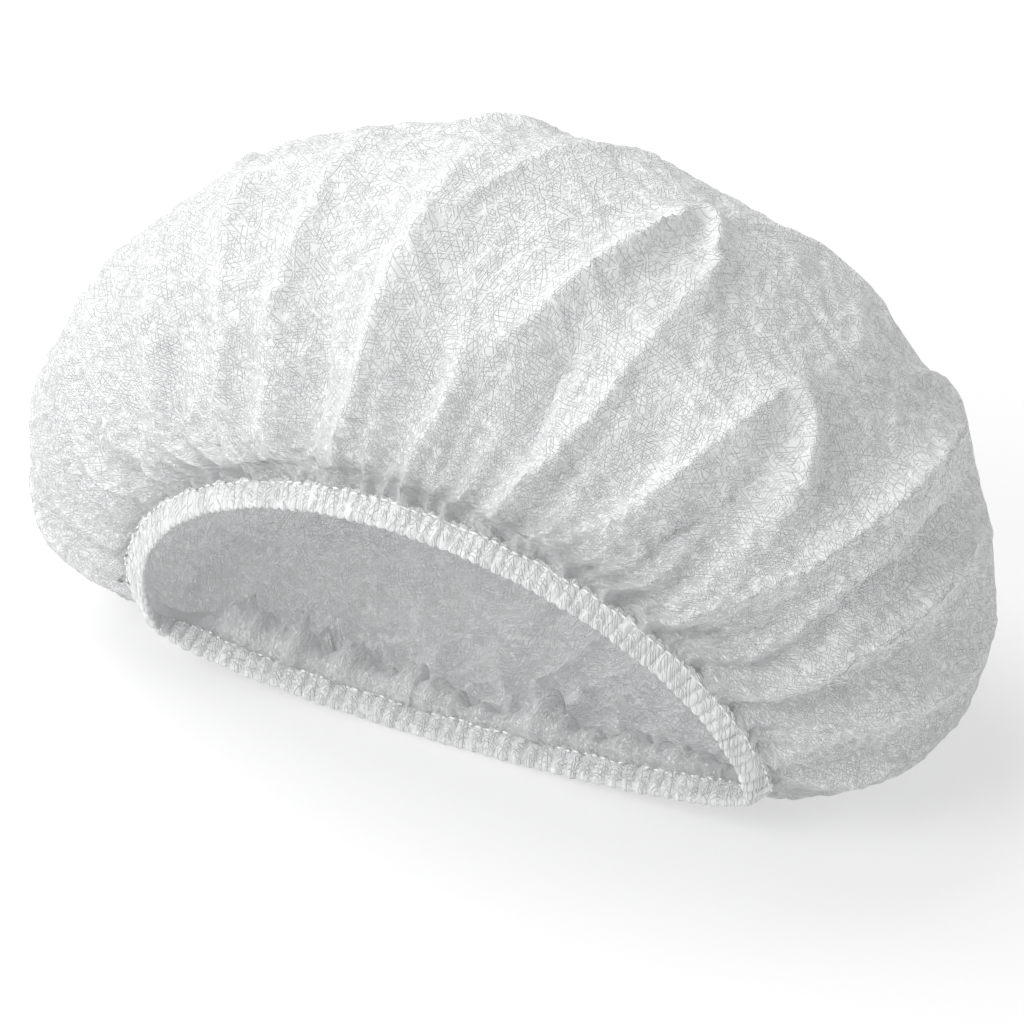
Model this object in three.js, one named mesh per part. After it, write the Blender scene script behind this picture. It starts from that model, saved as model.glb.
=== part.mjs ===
// A disposable bouffant hair cover of thin white non-woven fabric, lying on its side as it does on a table.
// One sheet makes the puffed crown. Its edge is folded over a narrow elastic and stitched, which makes the
// gathered band round the mouth. The mouth faces -Y, the long side of the cap runs along X, and the lower
// edge of the band and the underside of the crown rest on the plane z = 0. Lengths are in millimetres.
import * as THREE from "three";
import { mergeVertices } from "three/addons/utils/BufferGeometryUtils.js";

// The mouth, measured from its centre in its own plane, along the inside of the band's front edge.
const MOUTH_LEFT = 92;
const MOUTH_RIGHT = 100;
const MOUTH_RISE = 83;
const MOUTH_DROP = 18;
const MOUTH_LEAN = 23; // degrees by which the mouth's upper edge overhangs its lower edge

// The puffed crown, measured from the same centre line to its widest places.
const CROWN_LEFT = 155;
const CROWN_RIGHT = 144;
const CROWN_RISE = 118;
const CROWN_DROP = 64;
const CROWN_DEPTH = 155; // from the mouth's plane to the top of the crown
const CLOTH = 1.2; // thickness of the crown's wall
const SAG = 6; // height over which the cloth rounds off where it lies on the ground
const BAND_TURN = 0.8; // the same for the stiffer band

// The elastic band.
const BAND_WIDTH = 9;
const BAND_THICKNESS = 3;
const BAND_FLARE_TOP = 24; // degrees by which the band opens away from the mouth's axis
const BAND_FLARE_LEFT = 68;
const BAND_FLARE_RIGHT = 56;
const BAND_FLARE_FOOT = -16;
const CORNER_START = 0.4; // sine of the angle above the mouth's corners from which the flare changes
const CORNER_END = 0.85; // the same below the corners
const RUFFLE_HEIGHT = 0.45; // how far the band's small gathers stand out
const SEAM_GAP = 0.3; // between the band's back edge and the edge of the crown
const COLLAR = 3; // straight run of cloth behind the band before the gathers open

// The gathers that the elastic draws into the crown.
const GATHERS = 40;
const GATHER_HEIGHT = 2.6;
const GATHER_REACH = 0.4; // share of the way from the band to the top at which they have faded out
const COLUMNS_PER_GATHER = 3;
const RINGS = 18;
const RING_CROWDING = 1.15; // above 1, the rings lie closer together near the band

// Sections of the crown between the mouth and its widest place. depth is a share of CROWN_DEPTH, and the
// other columns are shares of the way from the mouth's size to the crown's widest size on that side.
const FLARE = [
  { depth: 0.1, left: 0.58, right: 0.52, rise: 0.22, drop: 0.4 },
  { depth: 0.2, left: 0.84, right: 0.82, rise: 0.4, drop: 0.72 },
  { depth: 0.34, left: 1, right: 1, rise: 0.76, drop: 0.95 },
];

// Sections from the widest place to the top. All columns but depth are shares of the crown's widest size.
const DOME = [
  { depth: 0.53, left: 0.99, right: 0.97, rise: 1, drop: 1 },
  { depth: 0.72, left: 0.87, right: 0.88, rise: 0.97, drop: 0.94 },
  { depth: 0.87, left: 0.68, right: 0.71, rise: 0.83, drop: 0.76 },
  { depth: 0.97, left: 0.38, right: 0.41, rise: 0.55, drop: 0.42 },
];

// The large folds, in degrees round the mouth: 0 is right, 90 up, 180 left and 270 down. A fold runs from
// the angle from, near the band, to the angle to, further up the crown. start and end are shares of the way
// from the band to the top, wide is a share of the crown's length, and high is a share of its depth, below
// zero where the fold is a hollow.
const FOLDS = [
  { from: 8, to: 0, start: 0.08, end: 0.61, wide: 0.04, high: 0.03 },
  { from: 24, to: 9, start: 0.08, end: 0.64, wide: 0.035, high: 0.036 },
  { from: 29, to: 15, start: 0.11, end: 0.64, wide: 0.03, high: -0.03 },
  { from: 35, to: 20, start: 0.09, end: 0.66, wide: 0.035, high: 0.036 },
  { from: 47, to: 12, start: 0.1, end: 0.79, wide: 0.04, high: 0.045 },
  { from: 50, to: 44, start: 0.1, end: 0.52, wide: 0.025, high: -0.036 },
  { from: 66, to: 47, start: 0.1, end: 0.59, wide: 0.035, high: 0.052 },
  { from: 70, to: 56, start: 0.11, end: 0.61, wide: 0.03, high: -0.045 },
  { from: 77, to: 60, start: 0.1, end: 0.72, wide: 0.035, high: 0.055 },
  { from: 80, to: 72, start: 0.24, end: 0.64, wide: 0.03, high: -0.045 },
  { from: 86, to: 74, start: 0.08, end: 0.7, wide: 0.03, high: 0.045 },
  { from: 90, to: 86, start: 0.1, end: 0.56, wide: 0.025, high: -0.036 },
  { from: 97, to: 94, start: 0.08, end: 0.73, wide: 0.035, high: 0.055 },
  { from: 103, to: 103, start: 0.13, end: 0.56, wide: 0.03, high: -0.04 },
  { from: 112, to: 126, start: 0.08, end: 0.73, wide: 0.035, high: 0.042 },
  { from: 118, to: 128, start: 0.11, end: 0.56, wide: 0.025, high: -0.03 },
  { from: 124, to: 136, start: 0.08, end: 0.61, wide: 0.03, high: 0.032 },
  { from: 134, to: 148, start: 0.08, end: 0.64, wide: 0.035, high: 0.032 },
  { from: 148, to: 150, start: 0.08, end: 0.64, wide: 0.035, high: 0.026 },
  { from: 172, to: 172, start: 0.08, end: 0.66, wide: 0.045, high: 0.03 },
  { from: 188, to: 180, start: 0.11, end: 0.64, wide: 0.04, high: -0.03 },
  { from: 200, to: 190, start: 0.08, end: 0.73, wide: 0.045, high: 0.034 },
  { from: 338, to: 346, start: 0.08, end: 0.7, wide: 0.045, high: 0.034 },
];

const lean = THREE.MathUtils.degToRad(MOUTH_LEAN);
const RIGHTWARD = new THREE.Vector3(1, 0, 0);
const UPWARD = new THREE.Vector3(0, -Math.sin(lean), Math.cos(lean));
const INWARD = new THREE.Vector3(0, Math.cos(lean), Math.sin(lean));
const mouthLift = (MOUTH_DROP + BAND_THICKNESS / 2) * Math.cos(lean);

// A point given by its distances to the right of, above and behind the mouth's centre.
function place(right, up, depth) {
  return new THREE.Vector3(0, 0, mouthLift)
    .addScaledVector(RIGHTWARD, right)
    .addScaledVector(UPWARD, up)
    .addScaledVector(INWARD, depth);
}

// Cloth that would pass through the ground lies flat on it instead, after a rounded turn.
function settle(point, turn) {
  if (point.z < -turn) point.z = 0;
  else if (point.z < turn) point.z = (point.z + turn) ** 2 / (4 * turn);
  return point;
}

// The direction across the mouth's edge and the one in which the band opens, from its front edge to its
// stitched edge: out lies in the mouth's plane and back is the part that points into the cap.
function flareAt(angle) {
  const [cosine, sine] = [Math.cos(angle), Math.sin(angle)];
  const wide = cosine > 0 ? MOUTH_RIGHT : MOUTH_LEFT;
  const high = sine > 0 ? MOUTH_RISE : MOUTH_DROP;
  const across = new THREE.Vector2(cosine / wide, sine / high).normalize();
  const side = cosine > 0 ? BAND_FLARE_RIGHT : BAND_FLARE_LEFT;
  const upper = side * cosine ** 2 + BAND_FLARE_TOP * sine ** 2;
  const lower = THREE.MathUtils.smoothstep(-sine, -CORNER_START, CORNER_END);
  const flare = THREE.MathUtils.degToRad(THREE.MathUtils.lerp(upper, BAND_FLARE_FOOT, lower));
  return { across, out: Math.sin(flare), back: Math.cos(flare) };
}

function sideSizes(angle, sizes) {
  return {
    right: (Math.cos(angle) > 0 ? sizes.right : sizes.left) * Math.cos(angle),
    up: (Math.sin(angle) > 0 ? sizes.rise : sizes.drop) * Math.sin(angle),
    depth: sizes.depth,
  };
}

const MOUTH = { depth: 0, left: MOUTH_LEFT, right: MOUTH_RIGHT, rise: MOUTH_RISE, drop: MOUTH_DROP };
const WIDEST = { left: CROWN_LEFT, right: CROWN_RIGHT, rise: CROWN_RISE, drop: CROWN_DROP };
const SIDES = ["left", "right", "rise", "drop"];

// Angles at which points lie evenly spaced along the mouth's edge.
function evenAngles(count) {
  const samples = 12 * count;
  const lengths = [0];
  let before = sideSizes(0, MOUTH);
  for (let i = 1; i <= samples; i++) {
    const at = sideSizes((2 * Math.PI * i) / samples, MOUTH);
    lengths.push(lengths[i - 1] + Math.hypot(at.right - before.right, at.up - before.up));
    before = at;
  }
  const angles = [];
  let i = 0;
  for (let point = 0; point < count; point++) {
    const wanted = (lengths[samples] * point) / count;
    while (lengths[i + 1] <= wanted) i++;
    const part = (wanted - lengths[i]) / (lengths[i + 1] - lengths[i]);
    angles.push((2 * Math.PI * (i + part)) / samples);
  }
  return angles;
}

function crownSections() {
  const flared = FLARE.map((row) => {
    const section = { depth: row.depth * CROWN_DEPTH };
    for (const side of SIDES) section[side] = MOUTH[side] + row[side] * (WIDEST[side] - MOUTH[side]);
    return section;
  });
  const domed = DOME.map((row) => {
    const section = { depth: row.depth * CROWN_DEPTH };
    for (const side of SIDES) section[side] = row[side] * WIDEST[side];
    return section;
  });
  return [...flared, ...domed, { depth: CROWN_DEPTH, left: 0, right: 0, rise: 0, drop: 0 }];
}

// A point of the band at an angle, so far along from its front edge and so far across its thickness.
function bandPoint(angle, along, thick) {
  const front = sideSizes(angle, MOUTH);
  const { across, out, back } = flareAt(angle);
  const outward = out * along + back * thick;
  return place(
    front.right + across.x * outward,
    front.up + across.y * outward,
    front.depth + back * along - out * thick,
  );
}

// The unfolded crown at an angle and at a share of the way from the band to the top.
const SECTIONS = crownSections();
const COLLAR_SHARE = 1 / (SECTIONS.length + 1);
function crownPoint(angle, share) {
  const neckAt = sideSizes(angle, MOUTH);
  const { across, out, back } = flareAt(angle);
  const collar = [BAND_WIDTH + SEAM_GAP, BAND_WIDTH + SEAM_GAP + COLLAR].map((run) => {
    const outward = out * run;
    return new THREE.Vector3(neckAt.right + across.x * outward, neckAt.up + across.y * outward, back * run);
  });
  const line = [
    ...collar,
    ...SECTIONS.map((section) => {
      const at = sideSizes(angle, section);
      return new THREE.Vector3(at.right, at.up, at.depth);
    }),
  ];
  const at = new THREE.CatmullRomCurve3(line, false, "catmullrom", 0.5).getPoint(share);
  return place(at.x, at.y, at.z);
}

// How far a fold stands out of the crown, in the middle of its run and beside it.
function foldHeight(angle, share, radius) {
  let height = 0;
  for (const fold of FOLDS) {
    const run = (share - fold.start) / (fold.end - fold.start);
    if (run <= 0 || run >= 1) continue;
    const middle = THREE.MathUtils.degToRad(THREE.MathUtils.lerp(fold.from, fold.to, run));
    const turned = Math.atan2(Math.sin(angle - middle), Math.cos(angle - middle));
    const width = fold.wide * (CROWN_LEFT + CROWN_RIGHT) * (0.4 + 0.6 * run);
    const beside = (turned * radius) / width;
    height += fold.high * CROWN_DEPTH * Math.sin(Math.PI * run ** 0.7) * Math.exp(-beside * beside);
  }
  return height;
}

function gatherHeight(column, share) {
  const fade = Math.max(0, 1 - (share - COLLAR_SHARE) / GATHER_REACH);
  return GATHER_HEIGHT * fade * fade * Math.cos((2 * Math.PI * column) / COLUMNS_PER_GATHER);
}

// A point of the crown's outer skin, folded, gathered and settled on the ground.
function foldedPoint(angle, column, share) {
  const step = 0.02;
  const here = crownPoint(angle, share);
  const round = crownPoint(angle + step, share).sub(crownPoint(angle - step, share));
  const up = crownPoint(angle, share + step).sub(crownPoint(angle, share - step));
  const outward = up.cross(round).normalize();
  const radius = round.length() / (2 * step);
  const stand = foldHeight(angle, share, radius) + gatherHeight(column, share);
  return settle(here.addScaledVector(outward, stand), SAG);
}

// The edge of the crown behind the band, so far across the thickness of the cloth.
function crownEdge(angles, thick) {
  return angles.map((angle) => settle(bandPoint(angle, BAND_WIDTH + SEAM_GAP, thick), BAND_TURN));
}

// The crown's outer skin as rows of points from the band to the top, and the inner side of its edge.
function crownSkin() {
  const columns = GATHERS * COLUMNS_PER_GATHER;
  const angles = evenAngles(columns);
  const rows = [crownEdge(angles, CLOTH / 2)];
  for (let ring = 1; ring < RINGS; ring++) {
    const share = COLLAR_SHARE + (1 - COLLAR_SHARE) * ((ring - 1) / (RINGS - 1)) ** RING_CROWDING;
    rows.push(angles.map((angle, column) => foldedPoint(angle, column, share)));
  }
  return { rows, innerEdge: crownEdge(angles, -CLOTH / 2), top: settle(crownPoint(0, 1), SAG), columns };
}

// Joins rows of points into a closed shell: the outer skin, the same skin one CLOTH further in, and the rim.
function shellOf({ rows, innerEdge, top, columns }) {
  const outer = [];
  const points = [...rows.flat(), top];
  const at = (row, column) => row * columns + (column % columns);
  const apex = rows.length * columns;
  for (let row = 0; row + 1 < rows.length; row++) {
    for (let column = 0; column < columns; column++) {
      const [a, b] = [at(row, column), at(row, column + 1)];
      const [c, d] = [at(row + 1, column), at(row + 1, column + 1)];
      const rising = points[a].distanceTo(points[d]) < points[b].distanceTo(points[c]);
      if (rising) outer.push([a, d, b], [a, c, d]);
      else outer.push([a, c, b], [b, c, d]);
    }
  }
  for (let column = 0; column < columns; column++) {
    outer.push([at(rows.length - 1, column + 1), at(rows.length - 1, column), apex]);
  }
  const skin = new THREE.BufferGeometry().setFromPoints(points);
  skin.setIndex(outer.flat());
  skin.computeVertexNormals();
  const normals = skin.getAttribute("normal");
  const lining = points.map((point, i) => {
    if (i < columns) return innerEdge[i];
    return point.clone().addScaledVector(new THREE.Vector3().fromBufferAttribute(normals, i), -CLOTH);
  });
  const inner = outer.map(([a, b, c]) => [a, c, b].map((i) => i + points.length));
  const rim = [];
  for (let column = 0; column < columns; column++) {
    const [a, b] = [at(0, column), at(0, column + 1)];
    rim.push([a, b, a + points.length], [b, b + points.length, a + points.length]);
  }
  const shell = new THREE.BufferGeometry().setFromPoints([...points, ...lining]);
  shell.setIndex([...outer, ...inner, ...rim].flat());
  return shell;
}

// The band's section, from its front edge to its back edge, as shares of its width and thickness.
const BAND_SECTION = [
  { along: 0, across: -0.28 },
  { along: 0, across: 0.28 },
  { along: 0.16, across: 0.5 },
  { along: 0.84, across: 0.5 },
  { along: 1, across: 0.3 },
  { along: 1, across: -0.3 },
  { along: 0.84, across: -0.5 },
  { along: 0.16, across: -0.5 },
];

function bandGeometry() {
  const columns = GATHERS * COLUMNS_PER_GATHER;
  const points = [];
  const faces = [];
  const size = BAND_SECTION.length;
  const angles = evenAngles(columns);
  for (let column = 0; column < columns; column++) {
    const angle = angles[column];
    const ruffle = column % 2 ? RUFFLE_HEIGHT : 0;
    for (const corner of BAND_SECTION) {
      const across = corner.across * (BAND_THICKNESS - 2 * ruffle);
      points.push(settle(bandPoint(angle, corner.along * BAND_WIDTH, across), BAND_TURN));
    }
    for (let i = 0; i < size; i++) {
      const next = (column + 1) % columns;
      const [a, b] = [column * size + i, column * size + ((i + 1) % size)];
      const [c, d] = [next * size + i, next * size + ((i + 1) % size)];
      faces.push([a, d, c], [a, b, d]);
    }
  }
  const band = new THREE.BufferGeometry().setFromPoints(points);
  band.setIndex(faces.flat());
  return band;
}

function makeMesh(name, geometry, colour, roughness) {
  const solid = mergeVertices(geometry, 1e-4);
  solid.computeVertexNormals();
  const finish = new THREE.MeshStandardMaterial({ color: colour, roughness, metalness: 0 });
  const mesh = new THREE.Mesh(solid, finish);
  mesh.name = name;
  return mesh;
}

const cap = new THREE.Group();
cap.add(makeMesh("crown", shellOf(crownSkin()), 0xf3f4f5, 0.85));
cap.add(makeMesh("elastic_band", bandGeometry(), 0xf7f7f7, 0.8));

// The origin lies on the ground under the middle of the cap.
const middle = new THREE.Box3().setFromObject(cap).getCenter(new THREE.Vector3());
for (const mesh of cap.children) mesh.geometry.translate(-middle.x, -middle.y, 0);

export default cap;
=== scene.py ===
# A disposable bouffant hair cover of thin white non-woven cloth, lying on its side on a pale floor.
import math

import bpy
import numpy as np
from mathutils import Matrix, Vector


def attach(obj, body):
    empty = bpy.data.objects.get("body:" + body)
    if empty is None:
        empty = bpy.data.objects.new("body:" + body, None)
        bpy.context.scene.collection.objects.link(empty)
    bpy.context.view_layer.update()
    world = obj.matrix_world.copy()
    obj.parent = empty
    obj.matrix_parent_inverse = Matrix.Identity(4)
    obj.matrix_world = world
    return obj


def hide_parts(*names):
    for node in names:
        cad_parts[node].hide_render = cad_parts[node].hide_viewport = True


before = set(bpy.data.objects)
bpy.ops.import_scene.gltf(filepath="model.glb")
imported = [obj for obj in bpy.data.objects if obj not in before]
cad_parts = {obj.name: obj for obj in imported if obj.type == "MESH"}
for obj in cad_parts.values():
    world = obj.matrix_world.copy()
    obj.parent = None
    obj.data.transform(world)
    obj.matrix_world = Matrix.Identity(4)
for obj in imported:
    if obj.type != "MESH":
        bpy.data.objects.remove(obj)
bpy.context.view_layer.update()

# The crown
# One sheet of thin spun-bonded cloth, about 530 by 400 mm laid flat, puffed up and drawn in round the mouth.
# The elastic gathers it into many small pleats at the band, and a few sharp folds run on over the crown.
# Lengths are in millimetres, turned into metres when a mesh is made. Angles go round the mouth: 0 is its
# right end, 90 its top, 180 its left end and 270 its low side. Shares go from 0 at the band to 1 at the top.
MM = 0.001
# from the middle of the mouth, and of the widest ring, to each of its sides
MOUTH = {"left": 92, "right": 100, "rise": 83, "drop": 18}
WIDEST = {"left": 155, "right": 144, "rise": 118, "drop": 64}
DEPTH = 155
# how far the mouth leans forward
LEAN = math.radians(23)
# what is taken off across and in depth to bring the cap's middle over the origin
MIDDLE = (-5.4, 57.95)
BAND_WIDTH = 9
BAND_THICKNESS = 3
# how far the cloth starts inside the band, and how far behind the band its first ring lies
HEM_OVERLAP = 1.6
COLLAR = 3.3
# how many degrees the band turns outwards on each side, and where the turn of the low side sets in
FLARE = {"right": 56, "rise": 24, "left": 68, "drop": -16}
LOW_FLARE_START = 0.4
LOW_FLARE_SPAN = 1.25
# steps round the mouth in which its length is measured
MEASURE_STEPS = 4001
# the space left between the floor and the cloth that lies on it, and the heights over which it bends there
OFF_FLOOR = [0, 0, 0.1]
FORM_BEND = 3
FOLD_BEND = 0.5
HEM_BEND = 0.6

# depth, then shares of the way from the mouth's size to the widest size on each side
OPENING = [
    {"depth": 0.1, "left": 0.58, "right": 0.52, "rise": 0.22, "drop": 0.4},
    {"depth": 0.2, "left": 0.84, "right": 0.82, "rise": 0.4, "drop": 0.72},
    {"depth": 0.34, "left": 1, "right": 1, "rise": 0.76, "drop": 0.95},
]
# depth, then shares of the widest size on each side
DOME = [
    {"depth": 0.53, "left": 0.99, "right": 0.97, "rise": 1, "drop": 1},
    {"depth": 0.72, "left": 0.87, "right": 0.88, "rise": 0.97, "drop": 0.94},
    {"depth": 0.87, "left": 0.68, "right": 0.71, "rise": 0.83, "drop": 0.76},
    {"depth": 0.97, "left": 0.38, "right": 0.41, "rise": 0.55, "drop": 0.42},
    {"depth": 1, "left": 0, "right": 0, "rise": 0, "drop": 0},
]

# Sharp folds as lines over the crown: angle in degrees and share of the way to the top, at the low end,
# the middle and the high end, then half width and height in millimetres. A hollow has a height below zero.
FOLDS = [
    (74, 0.14, 69, 0.38, 62, 0.6, 7, 7.5),
    (62, 0.55, 64, 0.66, 70, 0.61, 5, 4.5),
    (67, 0.64, 74, 0.54, 81, 0.43, 6, 6.5),
    (70, 0.28, 66, 0.45, 65, 0.56, 7, -5),
    (74, 0.32, 74, 0.42, 72, 0.52, 7, -5),
    (64, 0.12, 57, 0.38, 48, 0.53, 7, 7),
    (49, 0.53, 45, 0.49, 44, 0.38, 5, 5),
    (57, 0.24, 51, 0.37, 48, 0.45, 6, -5),
    (46, 0.1, 46, 0.3, 46, 0.47, 5, 4.5),
    (44, 0.12, 36, 0.42, 14, 0.72, 7, 7),
    (39, 0.15, 30, 0.4, 18, 0.6, 8, -5),
    (36, 0.1, 34, 0.3, 30, 0.48, 5, 3.5),
    (32, 0.12, 31, 0.43, 20, 0.6, 6, 5),
    (24, 0.1, 23, 0.38, 10, 0.6, 6, 5),
    (26, 0.12, 25, 0.3, 18, 0.48, 5, 3.5),
    (15, 0.08, 15, 0.28, 7, 0.42, 6, 4),
    (8, 0.06, 12, 0.3, 359, 0.55, 6, 4.5),
    (3, 0.06, 0, 0.25, 354, 0.36, 6, 3.5),
    (97, 0.1, 95, 0.38, 94, 0.66, 8, 8),
    (92, 0.14, 89, 0.3, 88, 0.42, 7, -4.5),
    (101, 0.14, 101, 0.3, 102, 0.43, 7, -5.5),
    (86, 0.08, 85, 0.3, 84, 0.46, 5, 4.5),
    (81, 0.06, 83, 0.24, 84, 0.42, 4, 3),
    (106, 0.08, 107, 0.28, 108, 0.46, 6, 4.5),
    (112, 0.04, 113, 0.34, 124, 0.66, 7, 6.5),
    (108, 0.4, 108, 0.54, 111, 0.68, 6, 4.5),
    (118, 0.1, 118, 0.3, 122, 0.46, 6, -4),
    (124, 0.05, 125, 0.34, 131, 0.52, 6, 4.5),
    (133, 0.08, 137, 0.36, 144, 0.54, 6, 4.5),
    (146, 0.08, 141, 0.3, 148, 0.5, 6, 4),
    (140, 0.1, 131, 0.28, 134, 0.44, 6, -3.5),
    (160, 0.06, 162, 0.3, 160, 0.5, 7, 4),
    (178, 0.06, 176, 0.3, 172, 0.55, 8, 4),
    (54, 0.1, 56, 0.24, 54, 0.36, 4, 3),
    (91, 0.56, 84, 0.68, 74, 0.76, 7, 3.5),
    (60, 0.7, 46, 0.74, 34, 0.72, 8, 3),
    (104, 0.62, 98, 0.72, 90, 0.8, 8, 3.5),
    (128, 0.6, 138, 0.68, 150, 0.72, 8, 3.5),
    (30, 0.66, 12, 0.74, 350, 0.72, 8, 3.5),
]
FOLD_POINTS = 9
FOLD_STRENGTH = 1.25
FOLD_SHARPNESS = 1.15
# a fold's width at its low end, and what it has gained at its high end, as shares of its given width
FOLD_LOW_WIDTH = 0.45
FOLD_WIDENS = 0.75
# where along its taper a fold begins, how much of the taper it takes, and how full the taper is
FOLD_TAPER = (0.04, 0.92, 0.6)

# Small ruffles that the elastic gathers the hem into, all round the mouth: how much closer they stand on the
# low side, and waves that make them uneven.
RUFFLES = 130
RUFFLE_CROWDING = 0.03
RUFFLE_SWAY = 0.0035
SWAY_WAVES = (3, 7, 11, 19, 31)
# how far round the mouth from its right end the middle of its low side lies, and how wide that side is taken
FOOT_SHARE = 0.79
FOOT_SPREAD = 1.6

# Pleats that run on from the ruffles: ruffles joined in each, shift round the mouth in radians, height in
# millimetres, and the shares at which they are fully open and at which they have faded.
FINE_PLEATS = [
    {"joined": 1, "shift": math.pi / 2, "height": 1.5, "start": 0.01, "reach": 0.17},
    {"joined": 2, "shift": 0, "height": 3.8, "start": 0.05, "reach": 0.38},
    {"joined": 3.6, "shift": 0, "height": 6.4, "start": 0.08, "reach": 0.52},
]
WIDE_PLEATS = [
    {"joined": 6.4, "shift": 0, "height": 3.6, "start": 0.18, "reach": 0.5},
]
# Every pleat: how far it wanders, its height where the band holds it, its middle height and how much that
# varies, the sharpness and foot of its ridge outside, and the sharpness and height of its ridge inside the
# low side, where it stands inwards.
PLEAT_WANDER = 1.2
PLEAT_HELD = 0.3
PLEAT_STRENGTH = 0.9
PLEAT_UNEVEN = 0.5
OUTER_SHARPNESS = 1.2
OUTER_FOOT = 0.25
INNER_SHARPNESS = 1.6
INNER_HEIGHT = 0.6

# Chance creases: how many, the angles and shares they start between, their length as a share, half width and
# height in millimetres, the ways they may go, outwards or inwards, and where along their taper they begin.
CREASES = [
    {"count": 190, "angles": (0, 360), "shares": (0.1, 0.9), "reach": 0.1, "width": 3.5, "height": 1.3,
     "ways": (-1, 1), "taper": 0.05},
    {"count": 46, "angles": (208, 324), "shares": (0.1, 0.14), "reach": 0.3, "width": 2.2, "height": 4,
     "ways": (-1,), "taper": 0.35},
    {"count": 75, "angles": (205, 328), "shares": (0.22, 0.6), "reach": 0.2, "width": 3.0, "height": 6,
     "ways": (-1,), "taper": 0.05},
    {"count": 26, "angles": (0, 180), "shares": (0.55, 0.8), "reach": 0.2, "width": 5.0, "height": 2.6,
     "ways": (-1, 1), "taper": 0.05},
]
CREASE_DRIFT = 14
CREASE_SHARPNESS = 1.1
CREASE_END = 0.95
CREASE_LENGTHS = (0.6, 1.5)
CREASE_HEIGHTS = (0.4, 1.3)
CREASE_WIDTHS = (0.7, 1.3)

# behind the lower side of the band the gathered cloth slopes down to the floor instead of dropping to it
SLOPE_START = 0.05
SLOPE_END = 0.42
SLOPE_HEIGHT = 9
SLOPE_BEND = 1.5

# The sheet that is draped, then the finer mesh made from it: a dense edge by the band and the rest, whose
# rows stop just short of the top.
SHEET_COLUMNS = 330
SHEET_ROWS = 120
ROW_CROWDING = 1.2
EDGE_COLUMNS = 1000
EDGE_ROWS = 24
EDGE_REACH = 0.2
CROWN_COLUMNS = EDGE_COLUMNS // 2
CROWN_ROWS = 146
TOP_SHARE = 0.982
# frames of slack for the draping, the rows that the band holds and how firmly the others keep their form
DRAPE_FRAMES = 9
HELD_ROWS = 2
FORM_HOLD = 0.3
FLAT_WIDTH = 0.4
FLAT_LENGTH = 0.53


def along_sides(cosine, sine, sizes):
    """Places on a ring that has its own size on each of its four sides."""
    across = np.where(cosine > 0, sizes["right"], sizes["left"]) * cosine
    up = np.where(sine > 0, sizes["rise"], sizes["drop"]) * sine
    return across, up


def place(across, up, depth):
    """Points in the room from places in the leaning rings."""
    lift = (MOUTH["drop"] + BAND_THICKNESS / 2) * math.cos(LEAN)
    x = across - MIDDLE[0]
    y = depth * math.cos(LEAN) - up * math.sin(LEAN) - MIDDLE[1]
    z = lift + up * math.cos(LEAN) + depth * math.sin(LEAN)
    return np.stack([x, y, z], -1)


def settle(points, turn):
    """Cloth that would go through the floor lies on it, and bends into it over a height of turn."""
    z = points[..., 2]
    points[..., 2] = np.where(z > turn, z, np.where(z < -turn, 0, (z + turn) ** 2 / (4 * turn)))
    return points


def flare(cosine, sine):
    """The outward way in the mouth's plane, and how far the band runs outwards and backwards."""
    wide = np.where(cosine > 0, MOUTH["right"], MOUTH["left"])
    high = np.where(sine > 0, MOUTH["rise"], MOUTH["drop"])
    out = np.stack([cosine / wide, sine / high], -1)
    out /= np.linalg.norm(out, axis=-1, keepdims=True)
    side = np.where(cosine > 0, FLARE["right"], FLARE["left"])
    upper = side * cosine**2 + FLARE["rise"] * sine**2
    low = np.clip((LOW_FLARE_START - sine) / LOW_FLARE_SPAN, 0, 1)
    low = low * low * (3 - 2 * low)
    turn = np.radians(upper + (FLARE["drop"] - upper) * low)
    return out, np.sin(turn), np.cos(turn)


def band_point(angle, along, thick):
    """A point of the band: along its width from the front edge, and out of its middle surface."""
    cosine, sine = np.cos(angle), np.sin(angle)
    across, up = along_sides(cosine, sine, MOUTH)
    out, sideways, back = flare(cosine, sine)
    outward = sideways * along + back * thick
    depth = back * along - sideways * thick
    return place(across + out[..., 0] * outward, up + out[..., 1] * outward, depth)


def cubic(before, start, end, after, part):
    """A smooth curve from start to end."""
    leave, arrive = (end - before) / 2, (after - start) / 2
    bend = (2 * start - 2 * end + leave + arrive) * part**3
    bow = (-3 * start + 3 * end - 2 * leave - arrive) * part**2
    return bend + bow + leave * part + start


def smooth_crown(angle, share):
    """The crown without its folds."""
    angle, share = np.broadcast_arrays(angle, share)
    cosine, sine = np.cos(angle), np.sin(angle)
    stops = [band_point(angle, BAND_WIDTH - HEM_OVERLAP, 0), band_point(angle, BAND_WIDTH + COLLAR, 0)]
    for row in OPENING:
        sizes = {side: MOUTH[side] + row[side] * (WIDEST[side] - MOUTH[side]) for side in MOUTH}
        stops.append(place(*along_sides(cosine, sine, sizes), row["depth"] * DEPTH))
    for row in DOME:
        sizes = {side: row[side] * WIDEST[side] for side in MOUTH}
        stops.append(place(*along_sides(cosine, sine, sizes), row["depth"] * DEPTH))
    stops = np.stack([2 * stops[0] - stops[1], *stops, 2 * stops[-1] - stops[-2]])
    last = len(stops) - 3
    place_on = np.clip(share, 0, 1) * last
    leg = np.minimum(place_on.astype(int), last - 1)
    part = (place_on - leg)[..., None]
    before, start, end, after = (
        np.take_along_axis(stops, (leg + i)[None, ..., None], 0)[0] for i in range(4)
    )
    return cubic(before, start, end, after, part)


def even_angles(count):
    """Angles at even distances round the mouth."""
    angle = np.linspace(0, 2 * np.pi, MEASURE_STEPS)
    across, up = along_sides(np.cos(angle), np.sin(angle), MOUTH)
    length = np.concatenate([[0], np.cumsum(np.hypot(np.diff(across), np.diff(up)))])
    return np.interp(np.arange(count) * length[-1] / count, length, angle)


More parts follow.
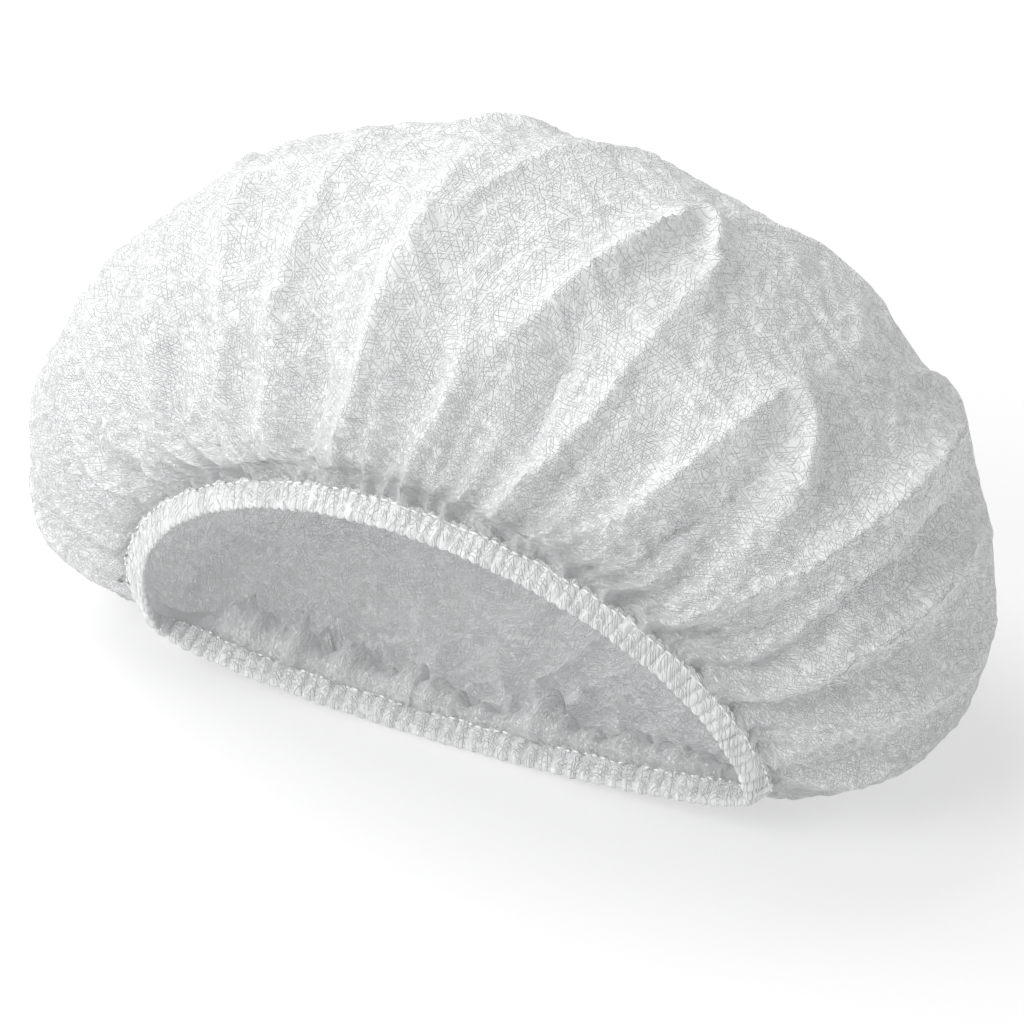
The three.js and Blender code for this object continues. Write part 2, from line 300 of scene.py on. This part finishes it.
def outward_of(points):
    """The way out of a closed sheet at each of its points."""
    round_mouth = np.roll(points, -1, 1) - np.roll(points, 1, 1)
    to_top = np.gradient(points, axis=0)
    normal = np.cross(to_top, round_mouth)
    return normal / (np.linalg.norm(normal, axis=-1, keepdims=True) + 1e-9)


def distance_to_line(points, line):
    """How far points are from a line, and how far along it their nearest place is, from 0 to 1."""
    best = np.full(points.shape[:-1], np.inf)
    where = np.zeros(points.shape[:-1])
    steps = len(line) - 1
    for i in range(steps):
        a, b = line[i], line[i + 1]
        leg = b - a
        part = np.clip(((points - a) @ leg) / (leg @ leg), 0, 1)
        gap = np.linalg.norm(points - a - part[..., None] * leg, axis=-1)
        where = np.where(gap < best, (i + part) / steps, where)
        best = np.minimum(best, gap)
    return best, where


def ring_faces(columns, rows):
    """Four-sided faces between closed rings of points."""
    here = np.arange(columns)
    there = (here + 1) % columns
    base = np.arange(rows - 1)[:, None] * columns
    corners = (base + here, base + columns + here, base + columns + there, base + there)
    return np.stack(corners, -1).reshape(-1, 4).tolist()


def mesh_object(name, points, faces):
    mesh = bpy.data.meshes.new(name)
    mesh.from_pydata((points.reshape(-1, 3) * MM).tolist(), [], faces)
    mesh.validate()
    mesh.polygons.foreach_set("use_smooth", np.ones(len(mesh.polygons), dtype=bool))
    thing = bpy.data.objects.new(name, mesh)
    bpy.context.scene.collection.objects.link(thing)
    return thing


def ruffle_place(share):
    """How many ruffles lie between the right end of the mouth and a place round it."""
    sway = sum(np.sin(2 * np.pi * n * share + 2 * n) / n for n in SWAY_WAVES)
    crowding = RUFFLE_CROWDING * np.sin(2 * np.pi * (share - FOOT_SHARE))
    return RUFFLES * (share - crowding + RUFFLE_SWAY * sway)


def foot(share):
    """1 on the low side of the mouth, fading to 0 at its ends."""
    return np.clip(FOOT_SPREAD * np.cos(2 * np.pi * (share - FOOT_SHARE)), 0, 1)


def pleat_height(pleats, share, rows, chance):
    """How far pleats stand out of the crown."""
    height = np.zeros((len(rows), len(share)))
    low_side = foot(share)
    for pleat in pleats:
        drift = chance.uniform(0, 6, 2)
        wander = np.sin(4 * np.pi * share + drift[0]) + 0.6 * np.sin(10 * np.pi * share + drift[1])
        turn = np.pi / pleat["joined"] * (ruffle_place(share) + rows[:, None] * PLEAT_WANDER * wander)
        crest = 1 - np.abs(np.sin(turn + pleat["shift"]))
        waves = zip(chance.integers(7, 23, 3), chance.uniform(0, 6, 3))
        uneven = sum(np.sin(2 * np.pi * n * share + phase) for n, phase in waves) / 3
        opened = rows[:, None] / (pleat["start"] * (1 + 2 * low_side))
        rise = np.clip(PLEAT_HELD + (1 - PLEAT_HELD) * opened, 0, 1)
        reach = pleat["reach"] * (1 + PLEAT_UNEVEN * uneven) * (1 + low_side)
        fade = np.clip(1 - rows[:, None] / reach, 0, 1)
        outside = (crest**OUTER_SHARPNESS - OUTER_FOOT) * (1 - low_side)
        inside = -INNER_HEIGHT * crest**INNER_SHARPNESS * low_side
        strength = PLEAT_STRENGTH + PLEAT_UNEVEN * uneven
        height += pleat["height"] * rise * fade * (outside + inside) * strength
    return height


def between(sheet, at, closed):
    """Points at places along the first axis of a sheet of points, by a smooth curve through them."""
    size = len(sheet)
    whole = at.astype(int) if closed else np.minimum(at.astype(int), size - 2)
    steps = [whole + step for step in (-1, 0, 1, 2)]
    near = [step % size if closed else np.clip(step, 0, size - 1) for step in steps]
    return cubic(*(sheet[step] for step in near), (at - whole)[:, None, None])


chance = np.random.default_rng(7)
sheet_share = np.arange(SHEET_COLUMNS) / SHEET_COLUMNS
sheet_rows = np.linspace(0, 1, SHEET_ROWS) ** ROW_CROWDING * TOP_SHARE
base = settle(smooth_crown(even_angles(SHEET_COLUMNS)[None, :], sheet_rows[:, None]), FORM_BEND)
slope = np.clip((SLOPE_END - sheet_rows) / (SLOPE_END - SLOPE_START), 0, 1) ** SLOPE_BEND
slope *= sheet_rows > SLOPE_START
base[..., 2] = np.maximum(base[..., 2], SLOPE_HEIGHT * slope[:, None] * foot(sheet_share))
stand = np.zeros(base.shape[:2])
# where the folds and creases lie, kept only to paint a highlight along them
fold_highlight_mask = np.zeros(base.shape[:2])
for low_angle, low, mid_angle, mid, high_angle, high, wide, tall in FOLDS:
    t = np.linspace(0, 1, FOLD_POINTS)
    swing = (high_angle - low_angle + 180) % 360 - 180
    mid_swing = (mid_angle - low_angle + 180) % 360 - 180
    bow = 4 * t * (1 - t)
    angle = low_angle + swing * t + (mid_swing - swing / 2) * bow
    share = low + (high - low) * t + (mid - (low + high) / 2) * bow
    gap, where = distance_to_line(base, smooth_crown(np.radians(angle), share))
    begin, span, fullness = FOLD_TAPER
    taper = np.sin(np.pi * np.clip(begin + span * where, 0, 1)) ** fullness
    half_width = wide * (FOLD_LOW_WIDTH + FOLD_WIDENS * where)
    ridge = taper * np.exp(-((gap / half_width) ** FOLD_SHARPNESS))
    stand += FOLD_STRENGTH * tall * ridge
    fold_highlight_mask = np.maximum(fold_highlight_mask, ridge)

for crease in CREASES:
    for _ in range(crease["count"]):
        angle = chance.uniform(*crease["angles"])
        share = chance.uniform(*crease["shares"])
        angles = np.radians([angle, angle + chance.normal(0, CREASE_DRIFT)])
        shares = np.array([share, share + crease["reach"] * chance.uniform(*CREASE_LENGTHS)])
        gap, where = distance_to_line(base, smooth_crown(angles, shares))
        tall = chance.choice(crease["ways"]) * crease["height"] * chance.uniform(*CREASE_HEIGHTS)
        half_width = crease["width"] * chance.uniform(*CREASE_WIDTHS)
        ridge = np.exp(-((gap / half_width) ** CREASE_SHARPNESS))
        ridge *= np.sin(np.pi * (crease["taper"] + (CREASE_END - crease["taper"]) * where))
        stand += tall * ridge
        fold_highlight_mask = np.maximum(fold_highlight_mask, ridge)

stand += pleat_height(WIDE_PLEATS, sheet_share, sheet_rows, chance)
sheet = settle(base + outward_of(base) * stand[..., None], FOLD_BEND)

# The loose cloth is a little longer than the form it was folded over, and creases under its own slack.
sheet_faces = ring_faces(SHEET_COLUMNS, SHEET_ROWS)
last_ring = SHEET_COLUMNS * (SHEET_ROWS - 1)
sheet_faces.append([last_ring + i for i in range(SHEET_COLUMNS)])
loose = mesh_object("loose sheet", sheet, sheet_faces)
held = HELD_ROWS * SHEET_COLUMNS
hold = loose.vertex_groups.new(name="hold")
hold.add(list(range(held, len(loose.data.vertices))), FORM_HOLD, "REPLACE")
hold.add(list(range(held)), 1, "REPLACE")
drape = loose.modifiers.new("drape", "CLOTH")
cloth_settings = {
    "quality": 3, "mass": 0.15, "air_damping": 1, "tension_stiffness": 15, "compression_stiffness": 15,
    "shear_stiffness": 7.5, "bending_stiffness": 0.8, "bending_damping": 0.5, "shrink_min": -0.04,
    "shrink_max": -0.04, "vertex_group_mass": "hold", "use_pressure": True, "uniform_pressure_force": 1,
}
for key, value in cloth_settings.items():
    setattr(drape.settings, key, value)
drape.settings.effector_weights.gravity = 0
drape.collision_settings.use_collision = False
for moment in range(1, DRAPE_FRAMES + 1):
    bpy.context.scene.frame_set(moment)
draped = loose.evaluated_get(bpy.context.evaluated_depsgraph_get()).to_mesh()
places = np.zeros(sheet.size)
draped.vertices.foreach_get("co", places)
sheet = places.reshape(sheet.shape) / MM
bpy.data.objects.remove(loose)
bpy.context.scene.frame_set(1)


def finer(grid, columns, rows):
    """The draped sheet's points, or values on them, at finer columns and rows."""
    row_at = (rows / TOP_SHARE) ** (1 / ROW_CROWDING) * (SHEET_ROWS - 1)
    column_at = np.arange(columns) * SHEET_COLUMNS / columns
    return between(between(grid, row_at, False).transpose(1, 0, 2), column_at, True).transpose(1, 0, 2)


def crown_part(columns, rows):
    part = finer(sheet, columns, rows)
    height = pleat_height(FINE_PLEATS, np.arange(columns) / columns, rows, np.random.default_rng(11))
    outward = outward_of(smooth_crown(even_angles(columns)[None, :], rows[:, None]))
    return settle(part + outward * height[..., None], HEM_BEND) + OFF_FLOOR


edge_rows = np.linspace(0, EDGE_REACH, EDGE_ROWS)
crown_rows = np.linspace(EDGE_REACH, TOP_SHARE, CROWN_ROWS)[1:]
edge = crown_part(EDGE_COLUMNS, edge_rows)
rest = crown_part(CROWN_COLUMNS, crown_rows)
inner = EDGE_COLUMNS * (EDGE_ROWS - 1)
outer = EDGE_COLUMNS * EDGE_ROWS
last = outer + CROWN_COLUMNS * (len(crown_rows) - 1)
top = last + CROWN_COLUMNS
faces = ring_faces(EDGE_COLUMNS, EDGE_ROWS)
faces += [[outer + i for i in face] for face in ring_faces(CROWN_COLUMNS, len(crown_rows))]
for i in range(CROWN_COLUMNS):
    j = (i + 1) % CROWN_COLUMNS
    a, b, c = inner + 2 * i, inner + 2 * i + 1, inner + 2 * j
    faces += [[a, outer + i, b], [b, outer + i, outer + j], [b, outer + j, c]]
    faces.append([last + i, top, last + j])
crown_points = np.concatenate([edge.reshape(-1, 3), rest.reshape(-1, 3), rest[-1].mean(0, keepdims=True)])
crown = mesh_object("crown_cloth", crown_points, faces)

# how near each point lies to a fold or crease line, where the cloth is painted paler as a highlight
mesh_parts = [(EDGE_COLUMNS, edge_rows), (CROWN_COLUMNS, crown_rows)]
painted_fold_highlight = [finer(fold_highlight_mask[..., None], columns, rows).ravel() for columns, rows in mesh_parts]
painted_fold_highlight = np.concatenate([*painted_fold_highlight, [0]])
crown.data.attributes.new("painted_fold_highlight", "FLOAT", "POINT").data.foreach_set("value", painted_fold_highlight)

# where each point lay on the flat sheet, so that the fibres run as they did before it was gathered
radius = 1 - np.concatenate([*(rows.repeat(columns) for columns, rows in mesh_parts), [1]])
angles = [np.tile(even_angles(columns), len(rows)) for columns, rows in mesh_parts]
round_sheet = np.concatenate([*angles, [0]])
across_flat = FLAT_LENGTH / 2 * radius * np.cos(round_sheet)
along_flat = FLAT_WIDTH / 2 * radius * np.sin(round_sheet)
flat = np.stack([across_flat, along_flat], -1)
corner_points = np.zeros(len(crown.data.loops), dtype=np.int32)
crown.data.loops.foreach_get("vertex_index", corner_points)
crown.data.uv_layers.new(name="flat").uv.foreach_set("vector", flat[corner_points].ravel())

# Layers of fibres: the way they run in radians and the size of their pattern in metres. Then how much
# longer than wide the pattern is, and how thin its lines are.
FIBRE_LAYERS = [(0.3, 0.0013), (1.4, 0.0011), (2.4, 0.0014)]
FIBRE_STRETCH = 4.5
FIBRE_THINNESS = 15
# denser and thinner patches of the cloth, in patterns per metre
PATCH_SCALE = 130.0
# relief in metres, and the shares of it that the fibres and the patches make
RELIEF = 0.0007
FIBRE_RELIEF = 0.38
PATCH_RELIEF = 0.8
# the cloth's white, how much paler fibres and patches are, how much paler fold and crease lines are painted
# as a highlight, and how sharply that painted highlight falls off
CLOTH_WHITE = 0.79
FIBRE_WHITE = 0.11
PATCH_WHITE = 0.1
FOLD_HIGHLIGHT_WHITE = 0.14
FOLD_HIGHLIGHT_EDGE = 1.5
# a trace of blue in the white
GREEN_TINT = 0.004
BLUE_TINT = 0.008
CLOTH_ROUGHNESS = 0.55
PATCH_ROUGHNESS = 0.2
CLOTH_SHINE = 0.35
SHINES_THROUGH = (0.97, 0.975, 0.98, 1)
# how much of the light goes through one layer of cloth, and through the folded hem
CROWN_THROUGH = 0.27
BAND_THROUGH = 0.12


class Value:
    """One socket of a material, with the sums that are made from it."""

    def __init__(self, paint, socket):
        self.paint = paint
        self.socket = socket

    def sum(self, kind, *others):
        return self.paint.node("ShaderNodeMath", {"operation": kind}, self, *others)

    def __add__(self, other):
        return self.sum("ADD", other)

    def __sub__(self, other):
        return self.sum("SUBTRACT", other)

    def __rsub__(self, other):
        return self.paint.node("ShaderNodeMath", {"operation": "SUBTRACT"}, other, self)

    def __mul__(self, other):
        return self.sum("MULTIPLY", other)

    def __pow__(self, other):
        return self.sum("POWER", other)

    __radd__ = __add__
    __rmul__ = __mul__


class Paint:
    """A material's nodes."""

    def __init__(self, name):
        self.material = bpy.data.materials.new(name)
        self.material.use_nodes = True
        self.tree = self.material.node_tree
        self.tree.nodes.clear()

    def node(self, kind, settings, *values, out=0, **named):
        made = self.tree.nodes.new(kind)
        for key, value in settings.items():
            setattr(made, key, value)
        sockets = list(zip(made.inputs, values))
        sockets += [(made.inputs[key.replace("_", " ")], value) for key, value in named.items()]
        for socket, value in sockets:
            if isinstance(value, Value):
                self.tree.links.new(value.socket, socket)
            elif value is not None:
                socket.default_value = value
        return Value(self, made.outputs[out]) if made.outputs else made


def fibres(paint, where, turn, size):
    """Thin wavy lines that run one way: the level lines of stretched noise."""
    sizes = (size, size * FIBRE_STRETCH, 1)
    run = paint.node("ShaderNodeMapping", {"vector_type": "TEXTURE"}, where, None, (0, 0, turn), sizes)
    cloud = paint.node("ShaderNodeTexNoise", {"noise_dimensions": "2D"}, run, None, 1.0, 0.0, 0.5)
    return 1 - (cloud - 0.5).sum("ABSOLUTE") * FIBRE_THINNESS


def nonwoven(name, where_name, through, highlight_name):
    """Cloth of bonded fibres, on a named flat map or on the piece itself, with a painted highlight along its
    folds if named.
    """
    paint = Paint(name)
    if where_name:
        where = paint.node("ShaderNodeUVMap", {"uv_map": where_name})
    else:
        where = paint.node("ShaderNodeTexCoord", {}, out=3)
    lines = None
    for turn, size in FIBRE_LAYERS:
        line = fibres(paint, where, turn, size).sum("MAXIMUM", 0)
        lines = line if lines is None else lines.sum("MAXIMUM", line)
    patches = paint.node("ShaderNodeTexNoise", {}, where, None, PATCH_SCALE, 2.0, 0.6)
    height = lines * FIBRE_RELIEF + patches * PATCH_RELIEF
    bump = paint.node("ShaderNodeBump", {}, 1.0, RELIEF, Height=height)
    shade = lines * FIBRE_WHITE + patches * PATCH_WHITE + CLOTH_WHITE
    if highlight_name:
        crease = paint.node("ShaderNodeAttribute", {"attribute_name": highlight_name}, out=2)
        # painted highlight: the cloth is painted paler along every fold and crease line, standing in for
        # light on the folds
        shade = shade + crease**FOLD_HIGHLIGHT_EDGE * FOLD_HIGHLIGHT_WHITE
    tint = paint.node("ShaderNodeCombineColor", {}, shade, shade + GREEN_TINT, shade + BLUE_TINT)
    surface = paint.node(
        "ShaderNodeBsdfPrincipled", {}, Base_Color=tint, Normal=bump, Specular_IOR_Level=CLOTH_SHINE,
        Roughness=patches * PATCH_ROUGHNESS + CLOTH_ROUGHNESS,
    )
    glow = paint.node("ShaderNodeBsdfTranslucent", {}, SHINES_THROUGH, bump)
    cloth = paint.node("ShaderNodeMixShader", {}, through, surface, glow)
    paint.node("ShaderNodeOutputMaterial", {}, cloth)
    return paint.material


crown.data.materials.append(nonwoven("non-woven cloth", "flat", CROWN_THROUGH, "painted_fold_highlight"))
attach(crown, "root")
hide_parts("crown")

# The elastic band
# The edge of the sheet folded over a narrow elastic and stitched down, which gathers it into a soft ring.
# It is thin in the creases between the ruffles and puffs out on them, most of all on the low side.
BAND_COLUMNS = 1300
BAND_CORNERS = 26
# thickness in the creases, what a ruffle adds, what it adds besides on the low side, and the front edge's
# roundness, as shares of the band's thickness
CREASE_THICKNESS = 0.42
RUFFLE_THICKNESS = 0.66
LOW_THICKNESS = 0.5
FRONT_THICKNESS = 0.1
# half of the width in the creases, as a share of the band's, and what a ruffle adds
CREASE_WIDTH = 0.84
RUFFLE_WIDTH = 0.2
# how full a ruffle is, how much ruffles differ, and in how many waves round the mouth they do
RUFFLE_FULLNESS = 0.75
RUFFLE_VARIES = 0.15
RUFFLE_WAVES = 23
# how square the band's section is, along its width and through its thickness
WIDTH_SQUARENESS = 0.7
THICKNESS_SQUARENESS = 0.8


def ruffle_swell(share):
    """How far the ruffles stand out, from 0 in the creases between them to 1."""
    full = np.abs(np.sin(np.pi * ruffle_place(share))) ** RUFFLE_FULLNESS
    wave = np.sin(2 * np.pi * RUFFLE_WAVES * share + 1)
    return full * (1 - RUFFLE_VARIES + RUFFLE_VARIES * wave)


def ruffle_puff(swell, share):
    """The band's thickness on its ruffles, as a share of BAND_THICKNESS."""
    return CREASE_THICKNESS + (RUFFLE_THICKNESS + LOW_THICKNESS * foot(share)) * swell


def squared(wave, squareness):
    return np.abs(wave) ** squareness * np.sign(wave)


band_share = np.arange(BAND_COLUMNS) / BAND_COLUMNS
band_angle = even_angles(BAND_COLUMNS)
ruffle = ruffle_swell(band_share)
corner = 2 * np.pi * np.arange(BAND_CORNERS) / BAND_CORNERS
front = np.clip(-np.cos(corner), 0, 1)
puff = ruffle_puff(ruffle, band_share)[:, None] + FRONT_THICKNESS * front
half_width = CREASE_WIDTH + RUFFLE_WIDTH * ruffle[:, None]
along = BAND_WIDTH / 2 * (1 + squared(np.cos(corner), WIDTH_SQUARENESS) * half_width)
thick = BAND_THICKNESS / 2 * squared(np.sin(corner), THICKNESS_SQUARENESS) * puff
band_points = settle(band_point(band_angle[:, None], along, thick), HEM_BEND) + OFF_FLOOR
band_faces = [face[::-1] for face in ring_faces(BAND_CORNERS, BAND_COLUMNS)]
close = (BAND_COLUMNS - 1) * BAND_CORNERS
for i in range(BAND_CORNERS):
    j = (i + 1) % BAND_CORNERS
    band_faces.append([close + j, j, i, close + i])
band = mesh_object("band_casing", band_points, band_faces)
band.data.materials.append(nonwoven("gathered casing", None, BAND_THROUGH, None))
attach(band, "root")
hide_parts("elastic_band")

# The stitching
# A line of white thread through both sides of the hem, just behind the elastic, seen as short dashes.
# Each dash is a small six-sided rod that narrows to its ends and follows the ruffle it is sewn on.
STITCH_LENGTH = 1.9
STITCH_RADIUS = 0.34
STITCH_PITCH = 2.9
STITCH_SIDES = 6
STITCH_ENDS = 0.6
# from the band's back edge, how much the line wanders, and its height above the ruffle
STITCH_INSET = 1.5
STITCH_WANDER = 0.25
STITCH_LIFT = 0.35
# how far out the thread lies on the rounded band, as a share of the full thickness there
STITCH_DEPTH = 0.79
# the lowest that any of its points may lie, across, in depth and in height
STITCH_LOWEST = [-np.inf, -np.inf, 0.3]
# how long the mouth's edge is taken to be, and the radius that turns a dash's length into an angle
RIM_LENGTH = 480
RIM_RADIUS = 95

stitch_points = []
stitch_faces = []
stitches = int(RIM_LENGTH / STITCH_PITCH)
half_dash = 0.5 * STITCH_LENGTH / RIM_RADIUS
for side in (1, -1):
    for i, middle in enumerate(even_angles(stitches)):
        swell = ruffle_swell(np.array([i / stitches]))[0]
        lift = side * (BAND_THICKNESS / 2 * STITCH_DEPTH * ruffle_puff(swell, i / stitches) + STITCH_LIFT)
        along = BAND_WIDTH - STITCH_INSET + STITCH_WANDER * math.sin(5 * i)
        a, b = (band_point(np.array(end), along, lift) for end in (middle - half_dash, middle + half_dash))
        direction = (b - a) / np.linalg.norm(b - a)
        first = np.cross(direction, [0.3, 0.2, 0.9])
        first /= np.linalg.norm(first)
        second = np.cross(direction, first)
        start = len(stitch_points) * 3 * STITCH_SIDES
        rings = []
        for at, size in ((a, STITCH_ENDS), ((a + b) / 2, 1.0), (b, STITCH_ENDS)):
            for k in range(STITCH_SIDES):
                spin = 2 * math.pi * k / STITCH_SIDES
                around = first * math.cos(spin) + second * math.sin(spin)
                rings.append(at + around * STITCH_RADIUS * size)
        stitch_points.append(rings)
        for level in range(2):
            low = start + level * STITCH_SIDES
            high = low + STITCH_SIDES
            for k in range(STITCH_SIDES):
                n = (k + 1) % STITCH_SIDES
                stitch_faces.append([low + k, low + n, high + n, high + k])
        stitch_faces.append([start + k for k in reversed(range(STITCH_SIDES))])
        stitch_faces.append([start + 2 * STITCH_SIDES + k for k in range(STITCH_SIDES)])
stitching = mesh_object("stitch_thread", np.maximum(np.array(stitch_points), STITCH_LOWEST), stitch_faces)
THREAD_WHITE = (0.95, 0.95, 0.95, 1)
TWIST_SCALE = 2500.0
thread = Paint("white thread")
on_piece = thread.node("ShaderNodeTexCoord", {}, out=3)
twist = thread.node("ShaderNodeTexNoise", {}, on_piece, None, TWIST_SCALE, 1.0, 0.5)
strand = thread.node(
    "ShaderNodeBsdfPrincipled", {}, Base_Color=THREAD_WHITE, Roughness=twist * 0.2 + 0.4, Sheen_Weight=0.2,
)
thread.node("ShaderNodeOutputMaterial", {}, strand)
stitching.data.materials.append(thread.material)
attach(stitching, "root")

# The floor
# A plain pale studio table that fills the view. It gives off a little light of its own, like a light table,
# which keeps the surround white.
FLOOR_SIZE = 6
FLOOR_GREY = 0.54
FLOOR_GLOW = 0.45
bpy.ops.mesh.primitive_plane_add(size=FLOOR_SIZE, location=(0, 0, 0))
floor = bpy.context.object
floor.name = "floor"
paper = Paint("pale paper")
board = paper.node(
    "ShaderNodeBsdfPrincipled", {}, Base_Color=(FLOOR_GREY, FLOOR_GREY, FLOOR_GREY, 1), Roughness=0.9,
    Specular_IOR_Level=0.1, Emission_Color=(1, 1, 1, 1), Emission_Strength=FLOOR_GLOW,
)
paper.node("ShaderNodeOutputMaterial", {}, board)
floor.data.materials.append(paper.material)

# The light
# A large soft panel high on the left, a smaller one low in front on the left, and an even white surround.
# Sizes and places are in metres, powers in watts.
PANELS = [
    {"name": "left panel", "place": (-0.74, 0.25, 1.18), "size": 1.2, "power": 12.5},
    {"name": "front panel", "place": (-0.5, -1.05, 0.85), "size": 0.9, "power": 10.5},
]
PANEL_AIM = Vector((0, 0, 0.06))
SURROUND_STRENGTH = 0.5
world = bpy.data.worlds.new("surround")
bpy.context.scene.world = world
world.use_nodes = True
surround = world.node_tree.nodes["Background"]
surround.inputs["Color"].default_value = (1, 1, 1, 1)
surround.inputs["Strength"].default_value = SURROUND_STRENGTH
bpy.context.scene.view_settings.view_transform = "Standard"
for panel in PANELS:
    light = bpy.data.lights.new(panel["name"], "AREA")
    light.shape = "SQUARE"
    light.size = panel["size"]
    light.energy = panel["power"]
    lamp = bpy.data.objects.new(panel["name"], light)
    lamp.location = panel["place"]
    lamp.rotation_euler = (PANEL_AIM - Vector(panel["place"])).to_track_quat("-Z", "Y").to_euler()
    bpy.context.scene.collection.objects.link(lamp)

# The camera
# It stands in front and a little to the right, looking down on the mouth, far off with a long lens.
# Place and distance are in metres, the lens and its sensor in millimetres.
AZIMUTH = math.radians(28)
ELEVATION = math.radians(30)
AIM = Vector((0.004, -0.0034, 0.0536))
DISTANCE = 1.136
FOCAL_LENGTH = 137.1
SENSOR_WIDTH = 36
looking = Vector((
    -math.sin(AZIMUTH) * math.cos(ELEVATION),
    math.cos(AZIMUTH) * math.cos(ELEVATION),
    -math.sin(ELEVATION),
))
lens = bpy.data.cameras.new("camera")
lens.sensor_width = SENSOR_WIDTH
lens.lens = FOCAL_LENGTH
camera = bpy.data.objects.new("camera", lens)
camera.location = AIM - looking * DISTANCE
camera.rotation_euler = looking.to_track_quat("-Z", "Y").to_euler()
bpy.context.scene.collection.objects.link(camera)
bpy.context.scene.camera = camera
